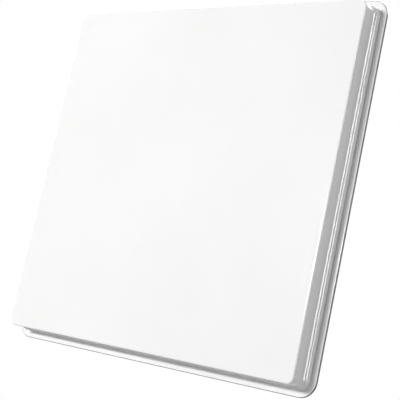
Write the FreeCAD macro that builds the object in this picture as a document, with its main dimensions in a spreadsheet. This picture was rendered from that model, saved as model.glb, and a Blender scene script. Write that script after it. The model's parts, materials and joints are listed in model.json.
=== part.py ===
import FreeCAD, Part
import math
import os
import re
import Sketcher

# Flat satellite antenna, lengths in millimetres
# X runs to the right seen from the front, Z up and Y back towards the bracket.
# The origin is the centre of the bracket bolts on the rear mounting face.
# A depth is measured straight back from the front face.

DOC = FreeCAD.newDocument("flat_antenna")
SHEET = DOC.addObject("Spreadsheet::Sheet", "Sizes")

SIZES = [
    ("face_side", 522.0, "side of the square front face"),
    ("corner_radius", 10.0, "plan radius of the front face's corners"),
    ("cover_face", 2.2, "thickness of the cover's front"),
    ("cover_wall", 2.4, "thickness of the cover's side wall"),
    ("face_inset", 5.0, "how far the rim section runs in under the face"),
    ("front_edge_radius", 2.5, "rounding of the front edge"),
    ("wall_flare", 0.4, "outward run of the drafted wall"),
    ("bead_step", 1.3, "how far the cover's bead stands out"),
    ("bead_slope", 1.65, "depth of the slope in front of the bead"),
    ("bead_flare", 0.05, "outward run of the bead's side"),
    ("bead_height", 3.9, "height of the cover's bead"),
    ("seam_gap", 0.5, "open gap of the seam"),
    ("seal_height", 2.9, "height of the seal under the cover's tongue"),
    ("tongue_clear", 0.2, "gap between tongue and tray lip"),
    ("tray_step", 1.2, "how far the tray lip stands out from the bead"),
    ("tray_wall", 2.2, "thickness of the tray lip"),
    ("lip_height", 7.7, "height of the tray lip over the flange"),
    ("lip_bevel", 1.15, "width of the slope in front of the tray lip"),
    ("lip_slope", 1.45, "depth of the slope in front of the tray lip"),
    ("lip_flare", 0.1, "outward run of the tray lip's side"),
    ("groove_width", 3.2, "width of the groove between lip and flange"),
    ("groove_depth", 1.9, "depth of the groove between lip and flange"),
    ("flange_thickness", 3.4, "thickness of the flange at its root"),
    ("flange_drop", 0.35, "how far the flange falls back to its rim"),
    ("rim_reach", 14.0, "rim beyond the front face's side"),
    ("rim_width", 3.1, "width of the raised rim"),
    ("rim_rise", 0.42, "height of the raised rim over the flange"),
    ("rim_lean", 0.15, "how far the rim's side leans in towards the back"),
    ("rim_bevel", 1.1, "bevel of the rim"),
    ("floor_thickness", 2.5, "thickness of the tray floor"),
    ("floor_inset", 4.0, "floor outline inside the front face's outline"),
    ("spine_width", 180.0, "width of the raised spine"),
    ("spine_top", 90.0, "bolt centre to the spine's top"),
    ("spine_bottom", 174.0, "bolt centre to the spine's lower end"),
    ("spine_radius", 16.0, "plan radius of the spine"),
    ("spine_bevel", 3.0, "bevel of the spine's rear edge"),
    ("spine_wall", 2.6, "wall of the spine"),
    ("rib_width", 8.0, "width of the rear stiffening beads"),
    ("rib_height", 1.9, "height of the rear stiffening beads"),
    ("rib_offset", 150.0, "outer beads from the middle"),
    ("rib_margin", 23.0, "bead ends inside the front face's edge"),
    ("rest_width", 5.0, "width of the rests under the stack"),
    ("rest_height", 1.5, "height of the rests over the tray floor"),
    ("rest_margin", 29.0, "rest ends from the stack's edge"),
    ("rest_inner", 112.0, "inner rests from the middle"),
    ("rest_outer", 205.0, "outer rests from the middle"),
    ("stop_length", 40.0, "length of a stop beside the stack"),
    ("stop_width", 4.0, "width of a stop"),
    ("stop_front", 9.0, "front face to the top of a stop"),
    ("stop_clear", 0.2, "gap between stop and stack"),
    ("bolt_spacing", 100.0, "bracket bolt spacing both ways"),
    ("boss_side", 17.0, "square boss round a bracket insert"),
    ("insert_radius", 5.8, "insert corner radius"),
    ("insert_length", 12.0, "length of an insert"),
    ("insert_clear", 0.06, "gap round an insert"),
    ("thread_radius", 3.0, "bracket thread radius"),
    ("boss_floor", 2.0, "closed end of a boss"),
    ("stack_margin", 17.0, "edge of the stack inside the front face's edge"),
    ("plate_border", 4.0, "border of the stack round the horns"),
    ("horn_count", 8.0, "horns along a side"),
    ("horn_land", 2.6, "wall between the horns' mouths"),
    ("throat_side", 26.0, "side of a horn's throat"),
    ("horn_front", 6.0, "front face to the horn plate"),
    ("horn_depth", 12.0, "thickness of the horn plate"),
    ("foam_margin", 4.0, "foam edge inside the stack's edge"),
    ("coupling_depth", 5.0, "thickness of the coupling plate"),
    ("cavity_depth", 3.4, "depth of a cavity"),
    ("cavity_web", 6.0, "wall between the cavities"),
    ("feed_depth", 5.5, "thickness of a feed plate"),
    ("channel_depth", 4.0, "depth of a waveguide channel"),
    ("channel_width", 10.0, "width of a waveguide channel"),
    ("slot_length", 15.0, "length of a coupling slot"),
    ("slot_width", 3.0, "width of a coupling slot"),
    ("slot_shift", 18.0, "lower polarisation's slots from the block centre"),
    ("port_width", 19.05, "width of a waveguide port"),
    ("port_height", 9.525, "height of a waveguide port"),
    ("port_offset", 18.0, "ports from the middle"),
    ("base_depth", 2.0, "thickness of the base plate"),
    ("case_gap", 3.5, "gap between the converter box and the bosses"),
    ("case_top", 45.0, "bolt centre to the box's top"),
    ("case_rise", 11.4, "gap between the box's lower end and the spine's wall"),
    ("case_wall", 2.0, "side wall of the box"),
    ("case_end", 3.0, "end wall of the box"),
    ("ledge_width", 3.0, "ledge under the board"),
    ("board_thickness", 1.6, "thickness of the board"),
    ("board_clear", 0.2, "gap round the board"),
    ("lid_room", 6.8, "room between board and lid"),
    ("lid_thickness", 1.5, "thickness of the box's lid"),
    ("lid_gap", 0.9, "gap between the lid and the spine's rear wall"),
    ("probe_radius", 0.65, "radius of a probe"),
    ("probe_reach", 3.4, "how far a probe reaches into its waveguide"),
    ("pin_clear", 0.04, "gap round pins and sleeves"),
    ("socket_gap", 1.5, "gap between the socket's flange and the tray floor"),
    ("socket_radius", 4.76, "radius of the socket's barrel"),
    ("socket_reach", 12.0, "barrel length below its flange"),
    ("socket_flats", 14.0, "flange width over flats"),
    ("socket_flange", 3.0, "thickness of the socket's flange"),
    ("socket_root", 6.0, "how far the socket stands into the box"),
    ("socket_bore", 3.35, "bore of the socket"),
    ("socket_clear", 0.24, "gap round the socket in the spine's hole"),
    ("contact_width", 1.2, "width of the socket's contact leaf"),
    ("contact_thickness", 0.6, "thickness of the socket's contact leaf"),
    ("contact_inset", 3.0, "contact's end inside the barrel"),
    ("contact_free", 3.0, "contact between socket and board"),
    ("contact_lap", 8.0, "contact on the board"),
]

for row, (alias, number, note) in enumerate(SIZES, start=1):
    SHEET.set("A%d" % row, str(number))
    SHEET.setAlias("A%d" % row, alias)
    SHEET.set("B%d" % row, note)
DOC.recompute()


def bound(text):
    """Point every size named in the text at its cell."""
    return re.sub(r"[a-z]+(?:_[a-z]+)+", r"Sizes.\g<0>", text)


def value(text):
    """Work out a text of sizes as a number."""
    return float(SHEET.evalExpression(bound(text)))


def behind(depth):
    """Turn a depth behind the front face into a text for Y."""
    return "(%s) - %s" % (depth, REAR)


# Depths, each worked out from the one in front of it
HORN_BACK = "(horn_front + horn_depth)"
COUPLING_BACK = "(%s + coupling_depth)" % HORN_BACK
UPPER_BACK = "(%s + feed_depth)" % COUPLING_BACK
LOWER_BACK = "(%s + feed_depth)" % UPPER_BACK
BASE_BACK = "(%s + base_depth)" % LOWER_BACK
FLOOR_FRONT = "(%s + rest_height)" % BASE_BACK
FLOOR_BACK = "(%s + floor_thickness)" % FLOOR_FRONT
SOCKET_AXIS = "(%s + socket_gap + socket_flats / 2)" % FLOOR_BACK
BOARD_BACK = "(%s - contact_thickness / 2)" % SOCKET_AXIS
BOARD_FRONT = "(%s - board_thickness)" % BOARD_BACK
LID_FRONT = "(%s + lid_room)" % BOARD_BACK
LID_BACK = "(%s + lid_thickness)" % LID_FRONT
REAR = "(%s + lid_gap + spine_wall)" % LID_BACK

# Depths of the rim's steps, from the tray floor forwards
FLANGE_ROOT = "(%s - flange_thickness)" % FLOOR_BACK
LIP_TOP = "(%s - lip_height)" % FLANGE_ROOT
SEAM = "(%s - seam_gap)" % LIP_TOP
BEAD_TOP = "(%s - bead_height)" % SEAM
TONGUE_END = "(%s - seal_height)" % FLOOR_FRONT

# Places across the front that several pieces share
LIP_OUT = "(wall_flare + bead_step + bead_flare + tray_step)"
LIP_IN = "(%s - tray_wall)" % LIP_OUT
TONGUE_OUT = "(%s - tongue_clear)" % LIP_IN
STACK_SIDE = "(face_side - stack_margin * 2)"
HORN_PITCH = "((%s - plate_border * 2) / horn_count)" % STACK_SIDE
MOUTH_HALF = "((%s - horn_land) / 2)" % HORN_PITCH
BLOCK = "((%s - plate_border * 2) / 4)" % STACK_SIDE
CAVITY_HALF = "((%s - cavity_web) / 2)" % BLOCK
RIB_END = "(face_side / 2 - rib_margin)"
REST_END = "(%s / 2 - rest_margin)" % STACK_SIDE
CASE_HALF = "(bolt_spacing / 2 - boss_side / 2 - case_gap)"
CASE_LOW = "(spine_bottom - spine_wall - case_rise)"
SOCKET_TOP = "(%s - case_end - socket_root)" % CASE_LOW
BOARD_LOW = "(%s - contact_free)" % SOCKET_TOP


def new_body(name):
    body = DOC.addObject("PartDesign::Body", name)
    body.Label = name
    return body


def new_sketch(body, name, role):
    plane = [item for item in body.Origin.OriginFeatures if item.Role == role][0]
    sketch = body.newObject("Sketcher::SketchObject", name)
    sketch.AttachmentSupport = [(plane, "")]
    sketch.MapMode = "FlatFace"
    return sketch


def face_sketch(body, name, depth):
    """A sketch seen from the front, lying at a depth."""
    sketch = new_sketch(body, name, "XZ_Plane")
    sketch.setExpression("AttachmentOffset.Base.z", bound("%s - (%s)" % (REAR, depth)))
    return sketch


def rim_sketch(body, name):
    """A section sketch: across is outward from the face's edge, along is depth."""
    sketch = new_sketch(body, name, "XY_Plane")
    sketch.setExpression("AttachmentOffset.Base.x", bound("face_side / 2"))
    sketch.setExpression("AttachmentOffset.Base.y", bound("-%s" % REAR))
    return sketch


def pin_down(sketch, geometry, point, across, along):
    """Tie a point's two coordinates to the sizes."""
    for kind, text in (("DistanceX", across), ("DistanceY", along)):
        number = value(text)
        index = sketch.addConstraint(Sketcher.Constraint(kind, -1, 1, geometry, point, number))
        sketch.setExpression("Constraints[%d]" % index, bound(text))


def outline(sketch, corners):
    """Draw a closed loop through corners of (across, along) or (across, along, radius)."""
    count = len(corners)
    spots = [FreeCAD.Vector(value(item[0]), value(item[1]), 0) for item in corners]
    ends = []
    for place, item in enumerate(corners):
        spot = spots[place]
        if len(item) == 2:
            ends.append((spot, spot, None))
            continue
        radius = value(item[2])
        back = (spots[place - 1] - spot).normalize()
        ahead = (spots[(place + 1) % count] - spot).normalize()
        half = back.getAngle(ahead) / 2
        run = radius / math.tan(half)
        centre = spot + (back + ahead).normalize() * (radius / math.sin(half))
        ends.append((spot + back * run, spot + ahead * run, centre))
    first = sketch.GeometryCount
    for place in range(count):
        start = ends[place][1]
        stop = ends[(place + 1) % count][0]
        sketch.addGeometry(Part.LineSegment(start, stop), False)
    for place, item in enumerate(corners):
        before = first + (place - 1) % count
        after = first + place
        if len(item) == 2:
            sketch.addConstraint(Sketcher.Constraint("Coincident", before, 2, after, 1))
            pin_down(sketch, after, 1, item[0], item[1])
            continue
        start, stop, centre = ends[place]
        left_turn = (spots[place] - spots[place - 1]).cross(stop - start).z > 0
        lead, trail = (start, stop) if left_turn else (stop, start)
        from_angle = math.atan2(lead.y - centre.y, lead.x - centre.x)
        to_angle = math.atan2(trail.y - centre.y, trail.x - centre.x)
        if to_angle < from_angle:
            to_angle += 2 * math.pi
        circle = Part.Circle(centre, FreeCAD.Vector(0, 0, 1), value(item[2]))
        arc = sketch.addGeometry(Part.ArcOfCircle(circle, from_angle, to_angle), False)
        spot = sketch.addGeometry(Part.Point(spots[place]), True)
        near, far = (1, 2) if left_turn else (2, 1)
        sketch.addConstraint(Sketcher.Constraint("Tangent", before, 2, arc, near))
        sketch.addConstraint(Sketcher.Constraint("Tangent", arc, far, after, 1))
        sketch.addConstraint(Sketcher.Constraint("PointOnObject", spot, 1, before))
        sketch.addConstraint(Sketcher.Constraint("PointOnObject", spot, 1, after))
        pin_down(sketch, spot, 1, item[0], item[1])
        index = sketch.addConstraint(Sketcher.Constraint("Radius", arc, value(item[2])))
        sketch.setExpression("Constraints[%d]" % index, bound(item[2]))


def rounded_square(sketch, half, radius):
    outline(sketch, [
        ("-(%s)" % half, "-(%s)" % half, radius),
        (half, "-(%s)" % half, radius),
        (half, half, radius),
        ("-(%s)" % half, half, radius),
    ])


def rectangle(sketch, left, right, low, high):
    outline(sketch, [(left, low), (right, low), (right, high), (left, high)])


def circle(sketch, across, along, radius):
    middle = FreeCAD.Vector(value(across), value(along), 0)
    shape = Part.Circle(middle, FreeCAD.Vector(0, 0, 1), value(radius))
    index = sketch.addGeometry(shape, False)
    pin_down(sketch, index, 3, across, along)
    rule = sketch.addConstraint(Sketcher.Constraint("Radius", index, value(radius)))
    sketch.setExpression("Constraints[%d]" % rule, bound(radius))


def grow(body, sketch, length, backwards=False):
    """Add material in front of a sketch, or behind it."""
    pad = body.newObject("PartDesign::Pad", sketch.Name + "_pad")
    pad.Profile = sketch
    pad.Reversed = backwards
    pad.setExpression("Length", bound(length))
    DOC.recompute()
    return pad


def sink(body, sketch, length, flip=False):
    """Take material away behind a sketch, or in front of it."""
    before = body.Shape.Volume
    pocket = body.newObject("PartDesign::Pocket", sketch.Name + "_pocket")
    pocket.Profile = sketch
    pocket.Reversed = flip
    pocket.setExpression("Length", bound(length))
    DOC.recompute()
    if not body.Shape.Volume < before - 0.01:
        raise ValueError("%s takes nothing away" % sketch.Name)
    return pocket


def rim_path(body):
    """The front face's outline, which every rim section follows."""
    path = new_sketch(body, body.Name + "_path", "XZ_Plane")
    half = "face_side / 2"
    low = "-face_side / 2"
    outline(path, [
        (half, "face_side * 0"),
        (half, half, "corner_radius"),
        (low, half, "corner_radius"),
        (low, low, "corner_radius"),
        (half, low, "corner_radius"),
    ])
    return path


def sweep_rim(body, corners):
    path = rim_path(body)
    section = rim_sketch(body, body.Name + "_section")
    outline(section, corners)
    DOC.recompute()
    rim = body.newObject("PartDesign::AdditivePipe", body.Name + "_rim")
    rim.Profile = section
    rim.Spine = (path, ["Edge%d" % (index + 1) for index in range(len(path.Shape.Edges))])
    rim.Mode = "Binormal"
    rim.Binormal = FreeCAD.Vector(0, 1, 0)
    DOC.recompute()
    return rim


def put(item, across, depth, height):
    """Tie a piece's place to the sizes."""
    item.setExpression("Placement.Base.x", bound(across))
    item.setExpression("Placement.Base.y", bound(behind(depth)))
    item.setExpression("Placement.Base.z", bound(height))


def block(name, left, right, front, back, low, high):
    item = DOC.addObject("Part::Box", name)
    item.setExpression("Length", bound("(%s) - (%s)" % (right, left)))
    item.setExpression("Width", bound("(%s) - (%s)" % (back, front)))
    item.setExpression("Height", bound("(%s) - (%s)" % (high, low)))
    put(item, left, front, low)
    return item


def slab(name, side, front, back):
    half = "(%s) / 2" % side
    low = "-(%s)" % half
    return block(name, low, half, front, back, low, half)


def turn(item, way):
    """Point a round piece's axis back or down."""
    angle = -90 if way == "back" else 180
    axis = FreeCAD.Vector(1, 0, 0)
    item.Placement = FreeCAD.Placement(FreeCAD.Vector(), FreeCAD.Rotation(axis, angle))


def rod(name, way, across, depth, height, radius, length):
    item = DOC.addObject("Part::Cylinder", name)
    turn(item, way)
    item.setExpression("Radius", bound(radius))
    item.setExpression("Height", bound(length))
    put(item, across, depth, height)
    return item


def hexagon(name, way, across, depth, height, corner, length):
    item = DOC.addObject("Part::Prism", name)
    turn(item, way)
    item.Polygon = 6
    item.setExpression("Circumradius", bound(corner))
    item.setExpression("Height", bound(length))
    put(item, across, depth, height)
    return item


def join(name, items):
    item = DOC.addObject("Part::MultiFuse", name)
    item.Shapes = items
    item.Refine = True
    return item


def remove(name, base, tool):
    item = DOC.addObject("Part::Cut", name)
    item.Base = base
    item.Tool = tool
    item.Refine = True
    return item


def group(name, items):
    item = DOC.addObject("Part::Compound", name)
    item.Links = items
    return item


NODES = []


def finish(item, name):
    """Give a piece its node name and keep it for export."""
    item.Label = name
    NODES.append(item)


# Cover: face, soft front edge, drafted wall, bead, and a tongue inside the tray lip
radome = new_body("radome")
sweep_rim(radome, [
    ("-face_inset", "face_side * 0"),
    ("face_side * 0", "face_side * 0", "front_edge_radius"),
    ("wall_flare", BEAD_TOP),
    ("wall_flare + bead_step", "%s + bead_slope" % BEAD_TOP),
    ("wall_flare + bead_step + bead_flare", SEAM),
    (TONGUE_OUT, SEAM),
    (TONGUE_OUT, TONGUE_END),
    ("wall_flare - cover_wall", TONGUE_END),
    ("-cover_wall", "cover_face"),
    ("-face_inset", "cover_face"),
])
radome_face = face_sketch(radome, "radome_face", "cover_face")
rounded_square(radome_face, "(face_side / 2 - floor_inset)", "(corner_radius - floor_inset)")
grow(radome, radome_face, "cover_face")
finish(radome, "radome")

# Seal that the cover's tongue presses on the tray floor
rim_seal = new_body("rim_seal")
sweep_rim(rim_seal, [
    ("wall_flare - cover_wall - seam_gap", TONGUE_END),
    (TONGUE_OUT, TONGUE_END),
    (TONGUE_OUT, FLOOR_FRONT),
    ("wall_flare - cover_wall - seam_gap", FLOOR_FRONT),
])
finish(rim_seal, "rim_seal")

# Rear tray: lip, groove, sloping flange with a raised rim, closed floor
rear_tray = new_body("rear_tray")
FLANGE_END = "(rim_reach - rim_width)"
RIM_FRONT = "(%s + flange_drop - rim_rise)" % FLANGE_ROOT
sweep_rim(rear_tray, [
    (LIP_IN, LIP_TOP),
    ("%s - lip_bevel" % LIP_OUT, LIP_TOP),
    (LIP_OUT, "%s + lip_slope" % LIP_TOP),
    ("%s + lip_flare" % LIP_OUT, "%s + groove_depth" % FLANGE_ROOT),
    ("%s + lip_flare + groove_width" % LIP_OUT, "%s + groove_depth" % FLANGE_ROOT),
    ("%s + lip_flare + groove_width" % LIP_OUT, FLANGE_ROOT),
    (FLANGE_END, "%s + flange_drop" % FLANGE_ROOT),
    ("%s + rim_rise * 0.7" % FLANGE_END, RIM_FRONT),
    ("rim_reach - rim_bevel", RIM_FRONT),
    ("rim_reach", "%s + rim_bevel" % RIM_FRONT),
    ("rim_reach - rim_lean", FLOOR_BACK),
    ("-face_inset", FLOOR_BACK),
    ("-face_inset", FLOOR_FRONT),
    (LIP_IN, FLOOR_FRONT),
])
tray_floor = face_sketch(rear_tray, "tray_floor", FLOOR_BACK)
rounded_square(tray_floor, "(face_side / 2 - floor_inset)", "(corner_radius - floor_inset)")
grow(rear_tray, tray_floor, "floor_thickness")

# Window in the tray floor for the converter's box
HOLLOW_SIDE = "(spine_width / 2 - spine_wall)"


def hollow(sketch):
    """The inside outline of the spine, which is also the window's."""
    outline(sketch, [
        ("-%s" % HOLLOW_SIDE, "-(spine_bottom - spine_wall)", "spine_radius - spine_wall"),
        (HOLLOW_SIDE, "-(spine_bottom - spine_wall)", "spine_radius - spine_wall"),
        (HOLLOW_SIDE, "spine_top - spine_wall", "spine_radius - spine_wall"),
        ("-%s" % HOLLOW_SIDE, "spine_top - spine_wall", "spine_radius - spine_wall"),
    ])


tray_window = face_sketch(rear_tray, "tray_window", FLOOR_FRONT)
hollow(tray_window)
sink(rear_tray, tray_window, "floor_thickness")

# Stops beside the stack and rests under it
STOP_IN = "(%s / 2 + stop_clear)" % STACK_SIDE
STOP_OUT = "(%s + stop_width)" % STOP_IN
stops = face_sketch(rear_tray, "stops", "stop_front")
for side in ("-", ""):
    low = "%srest_inner - stop_length / 2" % side
    high = "%srest_inner + stop_length / 2" % side
    for near, far in (("-%s" % STOP_OUT, "-%s" % STOP_IN), (STOP_IN, STOP_OUT)):
        rectangle(stops, near, far, low, high)
        rectangle(stops, low, high, near, far)
grow(rear_tray, stops, "%s + floor_thickness / 2 - stop_front" % FLOOR_FRONT, backwards=True)
rests = face_sketch(rear_tray, "rests", BASE_BACK)
for side in ("-", ""):
    for spot in ("rest_inner", "rest_outer"):
        middle = "%s%s" % (side, spot)
        left = "%s - rest_width / 2" % middle
        right = "%s + rest_width / 2" % middle
        rectangle(rests, left, right, "-%s" % REST_END, REST_END)
grow(rear_tray, rests, "rest_height + floor_thickness / 2", backwards=True)

# Stiffening beads on the back, clear of the socket's cable path
upright_ribs = face_sketch(rear_tray, "upright_ribs", "%s + rib_height" % FLOOR_BACK)
for side in ("-", ""):
    left = "%srib_offset - rib_width / 2" % side
    right = "%srib_offset + rib_width / 2" % side
    rectangle(upright_ribs, left, right, "-%s" % RIB_END, RIB_END)
rectangle(upright_ribs, "-rib_width / 2", "rib_width / 2", "spine_top + rib_margin", RIB_END)
grow(rear_tray, upright_ribs, "rib_height + floor_thickness / 2")
level_ribs = face_sketch(rear_tray, "level_ribs", "%s + rib_height" % FLOOR_BACK)
RIB_LOW = "rib_offset - rib_width / 2"
RIB_HIGH = "rib_offset + rib_width / 2"
rectangle(level_ribs, "-%s" % RIB_END, RIB_END, RIB_LOW, RIB_HIGH)
for left, right in (("-%s" % RIB_END, "-spine_width / 2 - rib_margin"),
                    ("spine_width / 2 + rib_margin", RIB_END)):
    rectangle(level_ribs, left, right, "-rib_offset - rib_width / 2", "-rib_offset + rib_width / 2")
grow(rear_tray, level_ribs, "rib_height + floor_thickness / 2")

finish(rear_tray, "rear_tray")

# Spine: a hollow box welded on the tray's back, with the bracket face and the socket's wall
spine = new_body("spine")
spine_block = face_sketch(spine, "spine_block", REAR)
outline(spine_block, [
    ("-spine_width / 2", "-spine_bottom", "spine_radius"),
    ("spine_width / 2", "-spine_bottom", "spine_radius"),
    ("spine_width / 2", "spine_top", "spine_radius"),
    ("-spine_width / 2", "spine_top", "spine_radius"),
])
spine_pad = grow(spine, spine_block, "%s - %s" % (REAR, FLOOR_BACK))
rear_edges = []
for number, edge in enumerate(spine_pad.Shape.Edges, start=1):
    if edge.BoundBox.YMin > -0.001:
        rear_edges.append("Edge%d" % number)
spine_edge = spine.newObject("PartDesign::Chamfer", "spine_edge")
spine_edge.Base = (spine_pad, rear_edges)
spine_edge.setExpression("Size", bound("spine_bevel"))
DOC.recompute()
spine_hollow = face_sketch(spine, "spine_hollow", FLOOR_BACK)
hollow(spine_hollow)
sink(spine, spine_hollow, "%s - %s - spine_wall" % (REAR, FLOOR_BACK))

# Bosses and pockets for the bracket inserts
BOLTS = []
for side in ("-", ""):
    for level in ("-", ""):
        BOLTS.append(("%sbolt_spacing / 2" % side, "%sbolt_spacing / 2" % level))
bosses = face_sketch(spine, "bosses", "%s - insert_length - boss_floor" % REAR)
for across, along in BOLTS:
    left = "%s - boss_side / 2" % across
    right = "%s + boss_side / 2" % across
    rectangle(bosses, left, right, "%s - boss_side / 2" % along, "%s + boss_side / 2" % along)
grow(spine, bosses, "insert_length + boss_floor - spine_wall / 2", backwards=True)
pockets = face_sketch(spine, "pockets", REAR)
for across, along in BOLTS:
    corners = []
    for step in range(6):
        reach = "(insert_radius + insert_clear)"
        corners.append((
            "%s + %s * cos(%d)" % (across, reach, 60 * step),
            "%s + %s * sin(%d)" % (along, reach, 60 * step),
        ))
    outline(pockets, corners)
sink(spine, pockets, "insert_length", flip=True)

# Hole in the spine's lower end for the socket
end_hole = new_sketch(spine, "end_hole", "XY_Plane")
end_hole.setExpression("AttachmentOffset.Base.z", bound("-spine_bottom"))
circle(end_hole, "face_side * 0", behind(SOCKET_AXIS), "socket_radius + socket_clear")
sink(spine, end_hole, "spine_wall", flip=True)
finish(spine, "spine")

# Foam spacer between cover and horns
finish(slab("foam_spacer", "%s - foam_margin * 2" % STACK_SIDE, "cover_face", "horn_front"), "foam_spacer")


def horn(across, along):
    """One tapered square horn, its mouth at the plate's front."""
    item = DOC.addObject("Part::Wedge", "horn")
    for axis in ("X", "Z"):
        item.setExpression(axis + "min", bound("-%s" % MOUTH_HALF))
        item.setExpression(axis + "max", bound(MOUTH_HALF))
        item.setExpression(axis + "2min", bound("-throat_side / 2"))
        item.setExpression(axis + "2max", bound("throat_side / 2"))
    item.Ymin = 0
    item.setExpression("Ymax", bound("horn_depth"))
    put(item, across, "horn_front", along)
    return item


# Horn plate: rows of horns in both directions
HORN_COUNT = int(value("horn_count"))
HORN_PLACES = ["%s * %.1f" % (HORN_PITCH, index - (HORN_COUNT - 1) / 2) for index in range(HORN_COUNT)]
horn_cuts = [horn(across, along) for across in HORN_PLACES for along in HORN_PLACES]
horn_blank = slab("horn_blank", STACK_SIDE, "horn_front", HORN_BACK)
horn_plate = remove("horn_plate", horn_blank, group("horn_tool", horn_cuts))
finish(horn_plate, "horn_plate")

# Branching waveguides: a bar, two arms, four bars and eight arms in each feed plate


def signs():
    return [(side, level) for side in ("-", "") for level in ("-", "")]


def channel(name, start, stop, front):
    """One straight channel from (across, along) to (across, along)."""
    half = "channel_width / 2"
    return block(
        name,
        "%s - %s" % (start[0], half), "%s + %s" % (stop[0], half),
        front, "%s + channel_depth" % front,
        "%s - %s" % (start[1], half), "%s + %s" % (stop[1], half),
    )


def branches(name, front, reach):
    """All channels of one polarisation; reach is half the last arms' length."""
    zero = "face_side * 0"
    items = [channel(name + "_bar", ("-%s" % BLOCK, zero), (BLOCK, zero), front)]
    for side in ("-", ""):
        middle = "%s%s" % (side, BLOCK)
        items.append(channel(name + "_arm", (middle, "-%s" % BLOCK), (middle, BLOCK), front))
    for side, level in signs():
        low = "%s%s - %s / 2" % (side, BLOCK, BLOCK)
        high = "%s%s + %s / 2" % (side, BLOCK, BLOCK)
        row = "%s%s" % (level, BLOCK)
        items.append(channel(name + "_bar", (low, row), (high, row), front))
        for column in (low, high):
            start = (column, "%s - (%s)" % (row, reach))
            stop = (column, "%s + (%s)" % (row, reach))
            items.append(channel(name + "_arm", start, stop, front))
    return items


def leaves(shift):
    """Slot centres: the block centres, moved outward along Z from the block row."""
    spots = []
    for side, level in signs():
        for across in ("-", "+"):
            for along in ("-", "+"):
                column = "%s%s %s %s / 2" % (side, BLOCK, across, BLOCK)
                row = "%s%s %s (%s / 2 + %s)" % (level, BLOCK, along, BLOCK, shift)
                spots.append((column, row))
    return spots


def slot(name, spot, long_way, front, back):
    wide = "slot_length / 2" if long_way == "across" else "slot_width / 2"
    tall = "slot_width / 2" if long_way == "across" else "slot_length / 2"
    return block(
        name,
        "%s - %s" % (spot[0], wide), "%s + %s" % (spot[0], wide),
        front, back,
        "%s - %s" % (spot[1], tall), "%s + %s" % (spot[1], tall),
    )


def port(name, along, front, back):
    half = "port_width / 2"
    tall = "port_height / 2"
    return block(
        name, "-%s" % half, half, front, back,
        "%s - %s" % (along, tall), "%s + %s" % (along, tall),
    )


SHIFT = "slot_shift"
NO_SHIFT = "face_side * 0"

# Coupling plate: a cavity behind each block of horns, two slots in each cavity
cavities = []
for column, row in leaves(NO_SHIFT):
    cavities.append(block(
        "cavity",
        "%s - %s" % (column, CAVITY_HALF), "%s + %s" % (column, CAVITY_HALF),
        HORN_BACK, "%s + cavity_depth" % HORN_BACK,
        "%s - %s" % (row, CAVITY_HALF), "%s + %s" % (row, CAVITY_HALF),
    ))
coupling_cuts = list(cavities)
CAVITY_FLOOR = "%s + cavity_depth / 2" % HORN_BACK
for spot in leaves(NO_SHIFT):
    coupling_cuts.append(slot("upper_slot", spot, "across", CAVITY_FLOOR, COUPLING_BACK))
for spot in leaves(SHIFT):
    coupling_cuts.append(slot("lower_slot", spot, "along", CAVITY_FLOOR, COUPLING_BACK))
coupling_blank = slab("coupling_blank", STACK_SIDE, HORN_BACK, COUPLING_BACK)
coupling_tool = join("coupling_tool", coupling_cuts)
finish(remove("coupling_plate", coupling_blank, coupling_tool), "coupling_plate")

# Upper feed plate, with the lower polarisation's slots passing through it
upper_cuts = branches("upper", COUPLING_BACK, "%s / 2" % BLOCK)
upper_cuts.append(channel("upper_stub", (NO_SHIFT, "-port_offset"), (NO_SHIFT, NO_SHIFT), COUPLING_BACK))
upper_cuts.append(port("upper_port", "-port_offset", COUPLING_BACK, UPPER_BACK))
for spot in leaves(SHIFT):
    upper_cuts.append(slot("passing_slot", spot, "along", COUPLING_BACK, UPPER_BACK))
upper_blank = slab("upper_blank", STACK_SIDE, COUPLING_BACK, UPPER_BACK)
upper_tool = join("upper_tool", upper_cuts)
finish(remove("upper_feed_plate", upper_blank, upper_tool), "upper_feed_plate")

# Lower feed plate, with the upper polarisation's port passing through it
lower_cuts = branches("lower", UPPER_BACK, "%s / 2 + slot_shift" % BLOCK)
lower_cuts.append(channel("lower_stub", (NO_SHIFT, NO_SHIFT), (NO_SHIFT, "port_offset"), UPPER_BACK))
lower_cuts.append(port("lower_port", "port_offset", UPPER_BACK, LOWER_BACK))
lower_cuts.append(port("passing_port", "-port_offset", UPPER_BACK, LOWER_BACK))
lower_blank = slab("lower_blank", STACK_SIDE, UPPER_BACK, LOWER_BACK)
lower_tool = join("lower_tool", lower_cuts)
finish(remove("lower_feed_plate", lower_blank, lower_tool), "lower_feed_plate")

# Base plate with the converter's box on its back
INNER_HALF = "(%s - case_wall)" % CASE_HALF
LEDGE_HALF = "(%s - ledge_width)" % INNER_HALF
BOX_LOW = "-(%s - case_end)" % CASE_LOW
BOX_HIGH = "case_top - case_end"
base_blank = join("base_blank", [
    slab("base_sheet", STACK_SIDE, LOWER_BACK, BASE_BACK),
    block("base_box", "-%s" % CASE_HALF, CASE_HALF, LOWER_BACK, LID_FRONT, "-%s" % CASE_LOW, "case_top"),
])
base_cuts = [
    block("board_room", "-%s" % INNER_HALF, INNER_HALF, BOARD_FRONT, LID_FRONT, BOX_LOW, BOX_HIGH),
    block("under_room", "-%s" % LEDGE_HALF, LEDGE_HALF, BASE_BACK, LID_FRONT, BOX_LOW, BOX_HIGH),
    rod("box_hole", "down", NO_SHIFT, SOCKET_AXIS, BOX_LOW, "socket_radius + pin_clear", "case_end"),
]
for along in ("-port_offset", "port_offset"):
    base_cuts.append(port("base_port", along, LOWER_BACK, BASE_BACK))
finish(remove("base_plate", base_blank, join("base_tool", base_cuts)), "base_plate")

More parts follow.
